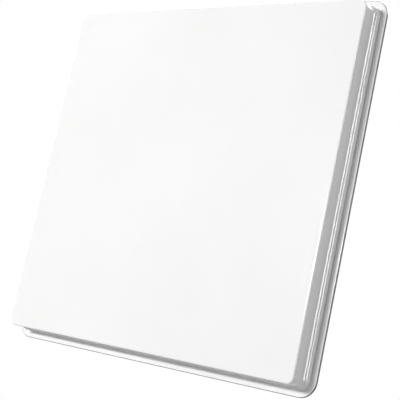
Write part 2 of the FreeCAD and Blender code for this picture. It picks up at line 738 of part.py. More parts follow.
# Converter board with its components, and the lid of its box
BOARD_HALF = "(%s - board_clear)" % INNER_HALF
BOARD_TOP = "(case_top - case_end - board_clear)"
finish(block(
    "lnb_board", "-%s" % BOARD_HALF, BOARD_HALF, BOARD_FRONT, BOARD_BACK,
    "-%s" % BOARD_LOW, BOARD_TOP), "lnb_board")

# Components as shares of the board's half width, of its length from the top, and of the room under the lid
COMPONENTS = [
    ("mixer", -0.32, 0.32, 0.06, 0.14, 0.47),
    ("filter_left", -0.85, -0.40, 0.20, 0.36, 0.59),
    ("filter_right", 0.40, 0.85, 0.20, 0.36, 0.59),
    ("oscillator", -0.25, 0.25, 0.42, 0.52, 0.74),
    ("switch_chip", -0.16, 0.16, 0.58, 0.64, 0.21),
    ("regulator", -0.30, 0.30, 0.70, 0.77, 0.65),
]
BOARD_SPAN = "(%s + %s)" % (BOARD_TOP, BOARD_LOW)
chips = []
for name, left, right, low, high, tall in COMPONENTS:
    chips.append(block(
        name,
        "%s * %.2f" % (BOARD_HALF, left), "%s * %.2f" % (BOARD_HALF, right),
        BOARD_BACK, "%s + lid_room * %.2f" % (BOARD_BACK, tall),
        "%s - %s * %.2f" % (BOARD_TOP, BOARD_SPAN, high), "%s - %s * %.2f" % (BOARD_TOP, BOARD_SPAN, low)))
finish(group("board_components", chips), "board_components")
finish(block(
    "lnb_lid", "-%s" % CASE_HALF, CASE_HALF, LID_FRONT, LID_BACK, "-%s" % CASE_LOW, "case_top"), "lnb_lid")

# Probes from the board into the waveguides
for name, along in (("vertical", "-port_offset"), ("horizontal", "port_offset")):
    tip = "(%s - probe_reach)" % LOWER_BACK
    probe = rod(
        "probe_" + name, "back", NO_SHIFT, tip, along, "probe_radius", "%s - %s" % (BOARD_FRONT, tip))
    finish(probe, "probe_" + name)

# Socket: flange outside the spine, barrel below, root threaded into the box's end wall
SOCKET_END = "(spine_bottom + socket_flange + socket_reach)"
SOCKET_LENGTH = "(%s - %s)" % (SOCKET_END, SOCKET_TOP)
SOCKET_START = "-%s" % SOCKET_TOP
socket_blank = join("socket_blank", [
    rod("barrel", "down", NO_SHIFT, SOCKET_AXIS, SOCKET_START, "socket_radius", SOCKET_LENGTH),
    hexagon("socket_hex", "down", NO_SHIFT, SOCKET_AXIS, "-spine_bottom",
            "socket_flats / 2 / cos(30)", "socket_flange"),
])
socket_bore = rod("bore", "down", NO_SHIFT, SOCKET_AXIS, SOCKET_START, "socket_bore", SOCKET_LENGTH)
finish(remove("socket_body", socket_blank, socket_bore), "socket_body")
insulator_blank = rod(
    "insulator_blank", "down", NO_SHIFT, SOCKET_AXIS, SOCKET_START,
    "socket_bore - pin_clear", "%s - contact_inset / 2" % SOCKET_LENGTH)


def leaf(name, gap, low, high):
    """The contact's flat leaf on the socket's axis, or the slot for it."""
    wide = "(contact_width / 2 + %s)" % gap
    thick = "(contact_thickness / 2 + %s)" % gap
    return block(
        name, "-%s" % wide, wide,
        "%s - %s" % (SOCKET_AXIS, thick), "%s + %s" % (SOCKET_AXIS, thick), low, high)


insulator_slot = leaf("insulator_slot", "pin_clear", "-%s" % SOCKET_END, SOCKET_START)
finish(remove("socket_insulator", insulator_blank, insulator_slot), "socket_insulator")
CONTACT_TOP = "contact_lap - %s" % BOARD_LOW
finish(leaf("socket_contact", NO_SHIFT, "contact_inset - %s" % SOCKET_END, CONTACT_TOP), "socket_contact")

# Bracket inserts, one node for the four
INSERT_FRONT = "%s - insert_length" % REAR
inserts = []
for across, along in BOLTS:
    inserts.append(remove(
        "insert",
        hexagon("insert_blank", "back", across, INSERT_FRONT, along, "insert_radius", "insert_length"),
        rod("insert_thread", "back", across, INSERT_FRONT, along, "thread_radius", "insert_length")))
finish(group("bracket_inserts", inserts), "bracket_inserts")

DOC.recompute()
for item in DOC.Objects:
    if "Invalid" in item.State or "Error" in item.State:
        raise ValueError("%s did not build" % item.Label)
os.makedirs("parts", exist_ok=True)
for item in NODES:
    shape = item.Shape
    if shape.isNull() or not shape.isValid():
        raise ValueError("%s has no sound shape" % item.Label)
    shape.exportStep("parts/%s.step" % item.Label)
    box = shape.BoundBox
    print(item.Label, "solids", len(shape.Solids), "volume %.0f" % shape.Volume,
          "size %.2f %.2f %.2f" % (box.XLength, box.YLength, box.ZLength))
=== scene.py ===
# %% [markdown]
# # A flat satellite antenna
# The real thing is a square white box for an outside wall. A plain cover lies over a horn array,
# and the edge steps down through a bead, a seam, a lip and a narrow gutter to a flange with a low rim.
# The lesson dresses the bare solids: first the frame, then the mouldings, the metal fittings,
# the finishes, and at the end the studio. All places are in metres, in the frame of the solids.

# %% Frame
import json
import math

import bmesh
import bpy
from mathutils import Matrix, Vector


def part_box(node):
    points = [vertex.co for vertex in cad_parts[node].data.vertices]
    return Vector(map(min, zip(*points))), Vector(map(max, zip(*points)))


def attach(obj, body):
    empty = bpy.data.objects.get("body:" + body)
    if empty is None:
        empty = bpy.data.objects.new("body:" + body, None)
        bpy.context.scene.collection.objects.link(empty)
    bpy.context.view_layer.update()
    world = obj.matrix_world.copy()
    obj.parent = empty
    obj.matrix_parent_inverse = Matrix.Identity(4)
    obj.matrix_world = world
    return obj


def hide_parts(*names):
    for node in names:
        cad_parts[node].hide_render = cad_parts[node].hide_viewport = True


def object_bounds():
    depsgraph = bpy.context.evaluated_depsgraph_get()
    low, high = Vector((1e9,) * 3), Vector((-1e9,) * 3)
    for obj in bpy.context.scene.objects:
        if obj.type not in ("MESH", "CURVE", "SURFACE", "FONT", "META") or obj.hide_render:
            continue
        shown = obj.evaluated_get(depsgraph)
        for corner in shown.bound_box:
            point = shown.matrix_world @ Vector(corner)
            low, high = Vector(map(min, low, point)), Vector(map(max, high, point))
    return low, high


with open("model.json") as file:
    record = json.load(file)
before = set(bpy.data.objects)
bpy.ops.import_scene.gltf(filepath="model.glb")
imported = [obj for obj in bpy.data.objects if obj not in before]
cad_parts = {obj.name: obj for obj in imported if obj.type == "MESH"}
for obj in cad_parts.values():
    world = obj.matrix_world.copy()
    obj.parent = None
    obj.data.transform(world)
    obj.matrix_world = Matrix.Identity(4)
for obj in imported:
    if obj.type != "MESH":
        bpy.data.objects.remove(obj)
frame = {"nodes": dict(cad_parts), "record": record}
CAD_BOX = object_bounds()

print("nodes", len(frame["nodes"]), "box", [tuple(round(x, 4) for x in corner) for corner in CAD_BOX])

# %% [markdown]
# ## Depths and reaches
# The front looks along -Y, so a depth is counted from the front face towards +Y.
# Millimetres suit such small steps, so sections are written in them and turned into metres
# only when a mesh is made. Most places are read from the boxes of the solids,
# so the dressed pieces keep sitting where the solids sit.

# %% Depths read from the solids
MM = 0.001
FLANGE_THICKNESS = 3.4
LIP_HEIGHT = 7.7
RIB_HEIGHT = 1.9


def depth_of(y):
    return (y - CAD_BOX[0].y) / MM


REAR = depth_of(CAD_BOX[1].y)
TONGUE_END = depth_of(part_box("radome")[1].y)
STOP_FRONT = depth_of(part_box("rear_tray")[0].y)
FLOOR_FRONT = depth_of(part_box("rim_seal")[1].y)
FLOOR_BACK = depth_of(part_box("spine")[0].y)
RIB_BACK = FLOOR_BACK + RIB_HEIGHT
FLANGE_ROOT = FLOOR_BACK - FLANGE_THICKNESS
LIP_TOP = FLANGE_ROOT - LIP_HEIGHT
print("tongue %.2f lip %.2f floor %.2f to %.2f ribs %.2f rear %.2f" % (
    TONGUE_END, LIP_TOP, FLOOR_FRONT, FLOOR_BACK, RIB_BACK, REAR))

# %% Reaches outside the front face's edge
RIM_REACH = 14.0
FACE_HALF = CAD_BOX[1].x / MM - RIM_REACH
CORNER_RADIUS = 10.0
FACE = (-FACE_HALF, FACE_HALF, -FACE_HALF, FACE_HALF)
BEAD_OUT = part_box("radome")[1].x / MM - FACE_HALF
print("front face %.1f mm square, bead %.2f mm outside it" % (FACE_HALF * 2, BEAD_OUT))

# %% [markdown]
# ## One way to make a moulding
# A moulded tray or cover is the same section carried round a square with rounded corners.
# A sweep modifier would twist at the corners, so the section is lofted instead: every point of it
# becomes one rounded outline at its own depth, and neighbouring outlines are joined by quads.
# The rounding of a section corner is a true arc, with a short holding run on both sides of it.
# That run keeps the flat faces flat when the mesh is shaded smooth.

# %% Section with soft corners
ARC_STEPS = 7
HOLD = 0.05


def arc(centre, radius, start, stop, steps):
    """Points on a circle in a section, from one angle in degrees to another."""
    points = []
    for step in range(steps + 1):
        angle = math.radians(start + (stop - start) * step / steps)
        points.append((centre[0] + radius * math.cos(angle), centre[1] + radius * math.sin(angle)))
    return points


def soften(corners):
    """Turn corners of (out, depth, radius) into section points with arcs."""
    points = []
    for place, (out, depth, radius) in enumerate(corners):
        spot = Vector((out, depth))
        if radius == 0:
            points.append(tuple(spot))
            continue
        back = (Vector(corners[place - 1][:2]) - spot).normalized()
        ahead = (Vector(corners[place + 1][:2]) - spot).normalized()
        half = back.angle(ahead) / 2
        run = radius / math.tan(half)
        centre = spot + (back + ahead).normalized() * (radius / math.sin(half))
        first = spot + back * run - centre
        turn = first.angle_signed(spot + ahead * run - centre)
        points.append(tuple(spot + back * (run + HOLD)))
        for step in range(ARC_STEPS + 1):
            points.append(tuple(centre + Matrix.Rotation(-turn * step / ARC_STEPS, 2) @ first))
        points.append(tuple(spot + ahead * (run + HOLD)))
    return points


print("a soft corner takes", ARC_STEPS + 3, "points")

# %% Loft through rounded outlines
CORNER_STEPS = 14
SHARP_ANGLE = math.radians(38)


def rounded_outline(area, radius, out):
    """Points of a rectangle with round corners, moved outwards by out."""
    left, right, low, high = area
    points = []
    for corner in range(4):
        across = right - radius if corner in (0, 3) else left + radius
        along = high - radius if corner in (0, 1) else low + radius
        for step in range(CORNER_STEPS + 1):
            angle = math.radians(90 * (corner + step / CORNER_STEPS))
            reach = radius + out
            points.append((across + reach * math.cos(angle), along + reach * math.sin(angle)))
    return points


def to_frame(across, depth, along):
    return Vector((across * MM, depth * MM + CAD_BOX[0].y, along * MM))


def new_piece(name, bm):
    """Make an object of a mesh, with smooth shading between its sharp edges."""
    bmesh.ops.recalc_face_normals(bm, faces=bm.faces)
    mesh = bpy.data.meshes.new(name)
    bm.to_mesh(mesh)
    bm.free()
    mesh.shade_smooth()
    mesh.set_sharp_from_angle(angle=SHARP_ANGLE)
    piece = bpy.data.objects.new(name, mesh)
    bpy.context.scene.collection.objects.link(piece)
    return piece


def loft(name, area, radius, section):
    """Carry a section of (out, depth) round an area and close both of its ends."""
    bm = bmesh.new()
    rows = []
    for out, depth in section:
        rows.append([bm.verts.new(to_frame(x, depth, z)) for x, z in rounded_outline(area, radius, out)])
    count = len(rows[0])
    for upper, lower in zip(rows, rows[1:]):
        for place in range(count):
            after = (place + 1) % count
            bm.faces.new((upper[place], upper[after], lower[after], lower[place]))
    bm.faces.new(rows[0])
    bm.faces.new(rows[-1])
    return new_piece(name, bm)


print("an outline takes", 4 * (CORNER_STEPS + 1), "points")

# %% [markdown]
# ## Joining and cutting
# Ribs, pockets and holes are added to a loft by exact booleans, whose result is kept at once.
# Smooth shading would bend the light on the tray's wide floor wherever a rib's rounded foot meets it,
# so every very large face is shaded flat afterwards.

# %% Adding to a piece and cutting from it
FLAT_AREA = 0.006


def carve(piece, tool, operation):
    """Join a tool to a piece or cut it away, and keep the resulting mesh."""
    change = piece.modifiers.new("change", "BOOLEAN")
    change.operation = operation
    change.object = tool
    change.solver = "EXACT"
    graph = bpy.context.evaluated_depsgraph_get()
    mesh = bpy.data.meshes.new_from_object(piece.evaluated_get(graph))
    piece.modifiers.clear()
    old = piece.data
    piece.data = mesh
    mesh.name = piece.name
    bpy.data.meshes.remove(old)
    bpy.data.objects.remove(tool)
    mesh.shade_smooth()
    mesh.set_sharp_from_angle(angle=SHARP_ANGLE)
    for face in mesh.polygons:
        if face.area > FLAT_AREA:
            face.use_smooth = False


def dress(piece, slot, *nodes):
    """Let a piece stand for its solids and hang it under the root body; its slot is not used."""
    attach(piece, "root")
    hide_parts(*nodes)
    print(piece.name, "faces", len(piece.data.polygons), "for", ", ".join(nodes))


print("faces over", FLAT_AREA, "square metres stay flat")

# %% [markdown]
# ## Cover
# The cover is one white moulding that radio waves pass through, so it is plain and even in thickness.
# Its front edge is soft, its wall leans out a little so that it leaves the mould,
# and a bead near the seam stiffens it and hides the joint. Behind the seam a tongue stands in the tray.
# One section holds all of this, with arcs of half a millimetre that catch the light as thin lines.

# %% Cover
WALL_FLARE = 0.4
COVER_FACE = 2.2
COVER_WALL = 2.4
COVER_INNER_RADIUS = 1.0
FACE_INSET = 5.0
FRONT_EDGE = 2.5
SEAM_GAP = 0.5
SEAM = LIP_TOP - SEAM_GAP
BEAD_HEIGHT = 3.9
BEAD_TOP = SEAM - BEAD_HEIGHT
BEAD_STEP = 1.3
BEAD_SLOPE = 1.65
BEAD_FOOT_RADIUS = 0.4
BEAD_RADIUS = 0.5
SEAM_RADIUS = 0.3
TONGUE_STEP = 1.2
TONGUE_OUT = BEAD_OUT - TONGUE_STEP

cover_section = soften([
    (-FACE_INSET, 0.0, 0),
    (0.0, 0.0, FRONT_EDGE),
    (WALL_FLARE, BEAD_TOP, BEAD_FOOT_RADIUS),
    (WALL_FLARE + BEAD_STEP, BEAD_TOP + BEAD_SLOPE, BEAD_RADIUS),
    (BEAD_OUT, SEAM, SEAM_RADIUS),
    (TONGUE_OUT, SEAM, 0),
    (TONGUE_OUT, TONGUE_END, 0),
    (WALL_FLARE - COVER_WALL, TONGUE_END, 0),
    (-COVER_WALL, COVER_FACE, COVER_INNER_RADIUS),
    (-FACE_INSET, COVER_FACE, 0),
])
cover = loft("cover", FACE, CORNER_RADIUS, cover_section)
dress(cover, "cover_plastic", "radome")

# %% [markdown]
# ## Tray
# The tray is the second moulding. Its lip carries on the cover's bead, a narrow gutter leads the rain
# round it, and a flange runs out to a low raised rim. A rounded hollow beside the lip would catch light
# from every side, so the gutter has upright walls: it stays dark and draws one firm line.
# The slopes of bead and lip lean alike, and so mirror the same lamp as two bright lines.

# %% Section of the tray
LIP_STEP = 1.2
LIP_BEVEL = 1.15
LIP_SLOPE = 1.45
LIP_WALL = 2.2
LIP_FLARE = 0.1
LIP_OUT = BEAD_OUT + LIP_STEP
LIP_IN = LIP_OUT - LIP_WALL
LIP_FOOT = LIP_OUT + LIP_FLARE
LIP_INNER_RADIUS = 0.25
LIP_EDGE_RADIUS = 0.3
LIP_RADIUS = 0.5
GUTTER_WIDTH = 3.2
GUTTER_DEPTH = 1.9
GUTTER_OUT = LIP_FOOT + GUTTER_WIDTH
GUTTER_BACK = FLANGE_ROOT + GUTTER_DEPTH
GUTTER_RADIUS = 0.4
FLANGE_DROP = 0.35
FLANGE_RADIUS = 0.5
RIM_WIDTH = 3.1
RIM_RISE = 0.42
RIM_SLOPE = 0.7
RIM_LEAN = 0.15
RIM_RADIUS = 1.8
RIM_FOOT_RADIUS = 0.2
RIM_BACK_RADIUS = 0.3
RIM_FRONT = FLANGE_ROOT + FLANGE_DROP - RIM_RISE
FLANGE_END = RIM_REACH - RIM_WIDTH

tray_section = soften([
    (-FACE_INSET, FLOOR_FRONT, 0),
    (LIP_IN, FLOOR_FRONT, 0),
    (LIP_IN, LIP_TOP, LIP_INNER_RADIUS),
    (LIP_OUT - LIP_BEVEL, LIP_TOP, LIP_EDGE_RADIUS),
    (LIP_OUT, LIP_TOP + LIP_SLOPE, LIP_RADIUS),
    (LIP_FOOT, GUTTER_BACK, GUTTER_RADIUS),
    (GUTTER_OUT, GUTTER_BACK, GUTTER_RADIUS),
    (GUTTER_OUT, FLANGE_ROOT, FLANGE_RADIUS),
    (FLANGE_END, FLANGE_ROOT + FLANGE_DROP, RIM_FOOT_RADIUS),
    (FLANGE_END + RIM_RISE * RIM_SLOPE, RIM_FRONT, RIM_FOOT_RADIUS),
    (RIM_REACH, RIM_FRONT, RIM_RADIUS),
    (RIM_REACH - RIM_LEAN, FLOOR_BACK, RIM_BACK_RADIUS),
    (-FACE_INSET, FLOOR_BACK, 0),
])
tray = loft("tray", FACE, CORNER_RADIUS, tray_section)
print("gutter to %.2f mm, rim from %.2f to %.2f mm depth" % (GUTTER_BACK, RIM_FRONT, FLOOR_BACK))

# %% [markdown]
# ## Inside and back of the tray
# Behind the cover the tray has a window for the converter, rests under the horn stack and stops
# beside it. On its back, shallow ribs keep the large floor from drumming in the wind.
# The ribs are lofts too, with a flared foot and a round top, joined to the floor by a union.

# %% Window, stops and rests
SPINE_LOW, SPINE_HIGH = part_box("spine")
SPINE = (SPINE_LOW.x / MM, SPINE_HIGH.x / MM, SPINE_LOW.z / MM, SPINE_HIGH.z / MM)
SPINE_RADIUS = 16.0
SPINE_WALL = 2.6
STACK_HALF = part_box("base_plate")[1].x / MM
STOP_GAP = 0.2
STOP_WIDTH = 4.0
STOP_LENGTH = 40.0
STOP_MIDDLE = 112.0
REST_PLACES = (112.0, 205.0)
REST_WIDTH = 5.0
REST_MARGIN = 29.0
REST_END = STACK_HALF - REST_MARGIN
REST_FRONT = 36.0
ROOT_DEPTH = 1.2
ROOTED = FLOOR_FRONT + ROOT_DEPTH
SMALL_RADIUS = 0.8
THROUGH = 1.0

window_section = [(-SPINE_WALL, FLOOR_FRONT - THROUGH), (-SPINE_WALL, FLOOR_BACK + THROUGH)]
carve(tray, loft("window", SPINE, SPINE_RADIUS, window_section), "DIFFERENCE")
stop_section = [(0.0, ROOTED), (0.0, STOP_FRONT)]
near = STACK_HALF + STOP_GAP
far = near + STOP_WIDTH
for middle in (-STOP_MIDDLE, STOP_MIDDLE):
    low = middle - STOP_LENGTH / 2
    high = middle + STOP_LENGTH / 2
    for start, stop in ((-far, -near), (near, far)):
        for area in ((start, stop, low, high), (low, high, start, stop)):
            carve(tray, loft("stop", area, SMALL_RADIUS, stop_section), "UNION")
rest_section = [(0.0, ROOTED), (0.0, REST_FRONT)]
for place in REST_PLACES:
    for middle in (-place, place):
        area = (middle - REST_WIDTH / 2, middle + REST_WIDTH / 2, -REST_END, REST_END)
        carve(tray, loft("rest", area, SMALL_RADIUS, rest_section), "UNION")
print("tray after stops and rests", len(tray.data.polygons))

# %% Stiffening ribs on the back
RIB_HALF = 4.0
RIB_OFFSET = 150.0
RIB_MARGIN = 23.0
RIB_END = FACE_HALF - RIB_MARGIN
RIB_RADIUS = 3.0
RIB_TOP = 1.1
RIB_FOOT = 0.5
RIB_SINK = 0.4
RIB_ROOT = FLOOR_BACK - RIB_SINK
FOOT_STEPS = 4
TOP_STEPS = 6
rib_section = [(RIB_FOOT, RIB_ROOT), (RIB_FOOT, FLOOR_BACK)]
rib_section += arc((RIB_FOOT, FLOOR_BACK + RIB_FOOT), RIB_FOOT, -90.0, -180.0, FOOT_STEPS)[1:]
rib_section += arc((-RIB_TOP, RIB_BACK - RIB_TOP), RIB_TOP, 0.0, 90.0, TOP_STEPS)
ribs = []
for middle in (-RIB_OFFSET, RIB_OFFSET):
    ribs.append((middle - RIB_HALF, middle + RIB_HALF, -RIB_END, RIB_END))
ribs.append((-RIB_HALF, RIB_HALF, SPINE[3] + RIB_MARGIN, RIB_END))
ribs.append((-RIB_END, RIB_END, RIB_OFFSET - RIB_HALF, RIB_OFFSET + RIB_HALF))
for start, stop in ((-RIB_END, SPINE[0] - RIB_MARGIN), (SPINE[1] + RIB_MARGIN, RIB_END)):
    ribs.append((start, stop, -RIB_OFFSET - RIB_HALF, -RIB_OFFSET + RIB_HALF))
for area in ribs:
    carve(tray, loft("rib", area, RIB_RADIUS, rib_section), "UNION")
dress(tray, "tray_plastic", "rear_tray")

# %% [markdown]
# ## Spine
# The spine is a hollow box welded on the tray's back. It holds the converter,
# gives the bracket a flat face and lets the aerial socket out at its lower end.
# It is one loft that starts inside the hollow and ends on the rear face;
# the pockets for the threaded inserts and the socket's hole are cut afterwards.

# %% Spine
SPINE_EDGE = 3.0
SPINE_INNER_RADIUS = 1.5
WELD = 0.6
WELD_RADIUS = 0.5
spine_section = soften([
    (-SPINE_WALL - SPINE_EDGE * 2, REAR - SPINE_WALL, 0),
    (-SPINE_WALL, REAR - SPINE_WALL, SPINE_INNER_RADIUS),
    (-SPINE_WALL, FLOOR_BACK, 0),
    (WELD, FLOOR_BACK, 0),
    (0.0, FLOOR_BACK + WELD, WELD_RADIUS),
    (0.0, REAR, SPINE_EDGE),
    (-SPINE_EDGE * 2, REAR, 0),
])
spine_shell = loft("spine_shell", SPINE, SPINE_RADIUS, spine_section)
print("spine %.0f x %.0f mm" % (SPINE[1] - SPINE[0], SPINE[3] - SPINE[2]))

# %% [markdown]
# ## Turned and threaded pieces
# Inserts and the aerial socket are turned on a lathe, so they are made of rows of points round an axis.
# A row may be a circle, a hexagon or a cut through a screw thread, where the radius
# follows the angle. With rows an eighth of a pitch apart the thread is real geometry,
# and it catches the light as a thread does; a bump map would stay smooth at its outline.

# %% Round and hexagonal rows
TURN_STEPS = 60
CHAMFER_SLOPE = math.tan(math.radians(30))


def round_row(height, radius):
    return [(height, radius)] * TURN_STEPS


def hex_radius(step, flats):
    angle = 360 * step / TURN_STEPS % 60 - 30
    return flats / 2 / math.cos(math.radians(angle))


def hex_row(height, flats):
    return [(height, hex_radius(step, flats)) for step in range(TURN_STEPS)]


def chamfer_row(height, flats, inner, way):
    """The curved edge that a cone leaves on a hexagon's corners."""
    row = []
    for step in range(TURN_STEPS):
        radius = hex_radius(step, flats)
        row.append((height + way * (radius - inner) * CHAMFER_SLOPE, radius))
    return row


print("a turn takes", TURN_STEPS, "points")

# %% Threads and closed turnings
ROWS_PER_PITCH = 8
FLANK = 1.4
CREST_FLAT = 0.2


def thread_rows(start, stop, pitch, root, crest, lead):
    """Rows along a thread that runs out into a cone of the given lead at its stop end."""
    count = round(abs(stop - start) / pitch * ROWS_PER_PITCH)
    rows = []
    for index in range(count + 1):
        height = start + (stop - start) * index / count
        share = min(1.0, abs(stop - height) / lead)
        row = []
        for step in range(TURN_STEPS):
            phase = (height / pitch + step / TURN_STEPS) % 1.0
            ridge = min(1.0, max(0.0, (1 - abs(2 * phase - 1)) * FLANK - CREST_FLAT))
            row.append((height, root + (crest - root) * ridge * share))
        rows.append(row)
    return rows


def turned(name, rows, place):
    """Close rows of (height, radius) into a ring-shaped mesh; place turns them into frame points."""
    bm = bmesh.new()
    rings = []
    for row in rows:
        ring = []
        for step, (height, radius) in enumerate(row):
            angle = 2 * math.pi * step / TURN_STEPS
            ring.append(bm.verts.new(place(radius * math.cos(angle), radius * math.sin(angle), height)))
        rings.append(ring)
    for ring, after in zip(rings, rings[1:] + rings[:1]):
        for step in range(TURN_STEPS):
            other = (step + 1) % TURN_STEPS
            bm.faces.new((ring[step], ring[other], after[other], after[step]))
    return new_piece(name, bm)


print("a thread takes", ROWS_PER_PITCH, "rows to the pitch")

# %% [markdown]
# ## Bosses, pockets and the socket's hole
# Behind each insert the spine is thickened by a square boss, and a hexagonal pocket in it takes the insert.
# Where the mounts of the part's record give a size, it is read from there,
# so bolt spacing, thread and socket keep fitting what is bolted or screwed on.

# %% Bosses and pockets in the spine
MOUNTS = {mount["name"]: mount for mount in frame["record"]["mounts"]}
BOLT_DIMS = MOUNTS["bracket_bolts"]["dims"]
BOLT_HALF = BOLT_DIMS["spacing_x_mm"] / 2
THREAD_RADIUS = BOLT_DIMS["hole_r_mm"]
BOLTS = [(x, z) for x in (-BOLT_HALF, BOLT_HALF) for z in (-BOLT_HALF, BOLT_HALF)]
BOSS_HALF = 8.5
BOSS_FLOOR = 2.0
BOSS_RADIUS = 2.0
INSERT_FLATS = (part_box("bracket_inserts")[1].z / MM - BOLT_HALF) * 2
INSERT_FRONT = depth_of(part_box("bracket_inserts")[0].y)
POCKET_GAP = 0.06
POCKET_FLATS = INSERT_FLATS + POCKET_GAP * 2


def hex_prism(name, across, along, flats, front, back):
    """A plain hexagonal tool, used to cut a pocket."""
    bm = bmesh.new()
    reach = flats / 2 / math.cos(math.radians(30))
    ends = []
    for depth in (front, back):
        ring = []
        for corner in range(6):
            angle = math.radians(60 * corner)
            spot = to_frame(across + reach * math.cos(angle), depth, along + reach * math.sin(angle))
            ring.append(bm.verts.new(spot))
        ends.append(ring)
    for corner in range(6):
        after = (corner + 1) % 6
        bm.faces.new((ends[0][corner], ends[0][after], ends[1][after], ends[1][corner]))
    bm.faces.new(ends[0])
    bm.faces.new(ends[1])
    return new_piece(name, bm)


boss_section = [(0.0, INSERT_FRONT - BOSS_FLOOR), (0.0, REAR - SPINE_WALL / 2)]
for across, along in BOLTS:
    area = (across - BOSS_HALF, across + BOSS_HALF, along - BOSS_HALF, along + BOSS_HALF)
    carve(spine_shell, loft("boss", area, BOSS_RADIUS, boss_section), "UNION")
for across, along in BOLTS:
    pocket = hex_prism("pocket", across, along, POCKET_FLATS, INSERT_FRONT, REAR + THROUGH)
    carve(spine_shell, pocket, "DIFFERENCE")
print("pockets", len(BOLTS), "of %.2f mm over flats" % POCKET_FLATS)

# %% Hole for the socket
SOCKET_MOUNT = MOUNTS["f_socket"]
SOCKET_RADIUS = SOCKET_MOUNT["dims"]["r_mm"]
SOCKET_DEPTH = depth_of(SOCKET_MOUNT["pos_m"][1])
HOLE_GAP = 0.24
HOLE_RADIUS = SOCKET_RADIUS + HOLE_GAP


def down(across, outward, height):
    """Points of a piece whose axis points down, on the socket's axis."""
    return to_frame(across, SOCKET_DEPTH + outward, height)


bm = bmesh.new()
bmesh.ops.create_cone(
    bm, cap_ends=True, segments=TURN_STEPS, radius1=HOLE_RADIUS * MM, radius2=HOLE_RADIUS * MM,
    depth=SPINE_WALL * 3 * MM, matrix=Matrix.Translation(down(0, 0, SPINE[2])))
carve(spine_shell, new_piece("hole", bm), "DIFFERENCE")
dress(spine_shell, "tray_plastic", "spine")

# %% [markdown]
# ## Threaded inserts
# Four brass hexagons are moulded into the spine so that bracket bolts don't tear out of the plastic.
# Each one has a small bevel on its rear edge, a countersunk mouth and a metric thread.

# %% Inserts
INSERT_PITCH = 1.0
INSERT_BEVEL = 0.35
INSERT_LEAD = 1.5
INSERT_THREAD = 0.5
INSERT_REST = 1.0
THREAD_CREST = THREAD_RADIUS - INSERT_THREAD
THREAD_END = INSERT_FRONT + INSERT_REST
INSERT_FACE = INSERT_FLATS / 2 - INSERT_BEVEL / 2
insert_rows = [round_row(REAR, THREAD_RADIUS + INSERT_BEVEL)]
insert_rows += thread_rows(
    REAR - INSERT_BEVEL, THREAD_END, INSERT_PITCH, THREAD_RADIUS, THREAD_CREST, INSERT_LEAD)
insert_rows.append(round_row(INSERT_FRONT, THREAD_RADIUS))
insert_rows.append(hex_row(INSERT_FRONT, INSERT_FLATS))
insert_rows.append(chamfer_row(REAR, INSERT_FLATS, INSERT_FACE, -1))
insert_rows.append(round_row(REAR, INSERT_FACE))
joined = bmesh.new()
for across, along in BOLTS:
    one = turned("insert", insert_rows, lambda x, z, height: to_frame(across + x, height, along + z))
    joined.from_mesh(one.data)
    bpy.data.objects.remove(one)
inserts = new_piece("inserts", joined)
dress(inserts, "brass", "bracket_inserts")

# %% [markdown]
# ## Aerial socket
# The socket is a nickel-plated turning: a hexagon to hold it with a spanner, and below it a barrel
# with the fine thread that every aerial plug screws onto. The white insulator inside stays the
# solid that it is, and so does the flat contact in its slot.

# %% Socket
SOCKET_LOW, SOCKET_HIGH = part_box("socket_body")
SOCKET_END = SOCKET_LOW.z / MM
SOCKET_TOP = SOCKET_HIGH.z / MM
SOCKET_FLATS = (SOCKET_HIGH.y - SOCKET_LOW.y) / MM
HEX_TOP = SPINE[2]
HEX_LOW = SOCKET_END + SOCKET_MOUNT["dims"]["length_mm"]
HEX_BEVEL = 0.15
HEX_FACE = SOCKET_FLATS / 2 - HEX_BEVEL
INCH = 25.4
THREADS_PER_INCH = 32
SOCKET_PITCH = INCH / THREADS_PER_INCH
SOCKET_THREAD = 0.45
SOCKET_ROOT = SOCKET_RADIUS - SOCKET_THREAD
SOCKET_BORE = 3.35
SOCKET_LEAD = 0.8
NECK = 0.6
MOUTH_BEVEL = 0.3
socket_rows = [
    round_row(SOCKET_TOP, SOCKET_BORE),
    round_row(SOCKET_TOP, SOCKET_RADIUS - MOUTH_BEVEL),
    round_row(SOCKET_TOP - MOUTH_BEVEL, SOCKET_RADIUS),
    round_row(HEX_TOP, SOCKET_RADIUS),
    hex_row(HEX_TOP, SOCKET_FLATS),
    chamfer_row(HEX_LOW, SOCKET_FLATS, HEX_FACE, 1),
    round_row(HEX_LOW, HEX_FACE),
    round_row(HEX_LOW, SOCKET_ROOT),
]
socket_rows += thread_rows(
    HEX_LOW - NECK, SOCKET_END, SOCKET_PITCH, SOCKET_ROOT, SOCKET_RADIUS, SOCKET_LEAD)
socket_rows.append(round_row(SOCKET_END, SOCKET_BORE + MOUTH_BEVEL))
socket_rows.append(round_row(SOCKET_END + MOUTH_BEVEL, SOCKET_BORE))
socket = turned("socket", socket_rows, down)
dress(socket, "nickel", "socket_body")

# %% [markdown]
# ## Finishes
# A moulded plastic is never one flat colour. Its pigment drifts a little over the part, its gloss
# varies with the flow of the melt, and the mould leaves a fine grain on it.
# Each finish below mixes two near shades by a slow noise, moves the roughness by a second one
# and raises a fine bump. Noise in object coordinates needs no unwrapping and keeps its real scale.
# The tray is polished where it shows and matt on its back, as a mould is often finished.

# %% A finish from noise
MATTE_MARGIN = 0.4
MATTE_START = to_frame(0, FLOOR_BACK - MATTE_MARGIN, 0).y
MATTE_BLEND = 0.25 * MM
SHADE_RANGE = (0.3, 0.7)
SHADE_DETAIL = 3.0
GLOSS_DETAIL = 2.0
GLOSS_PATCHES = 4
GRAIN_DETAIL = 4.0
BUMP_STRENGTH = 0.6


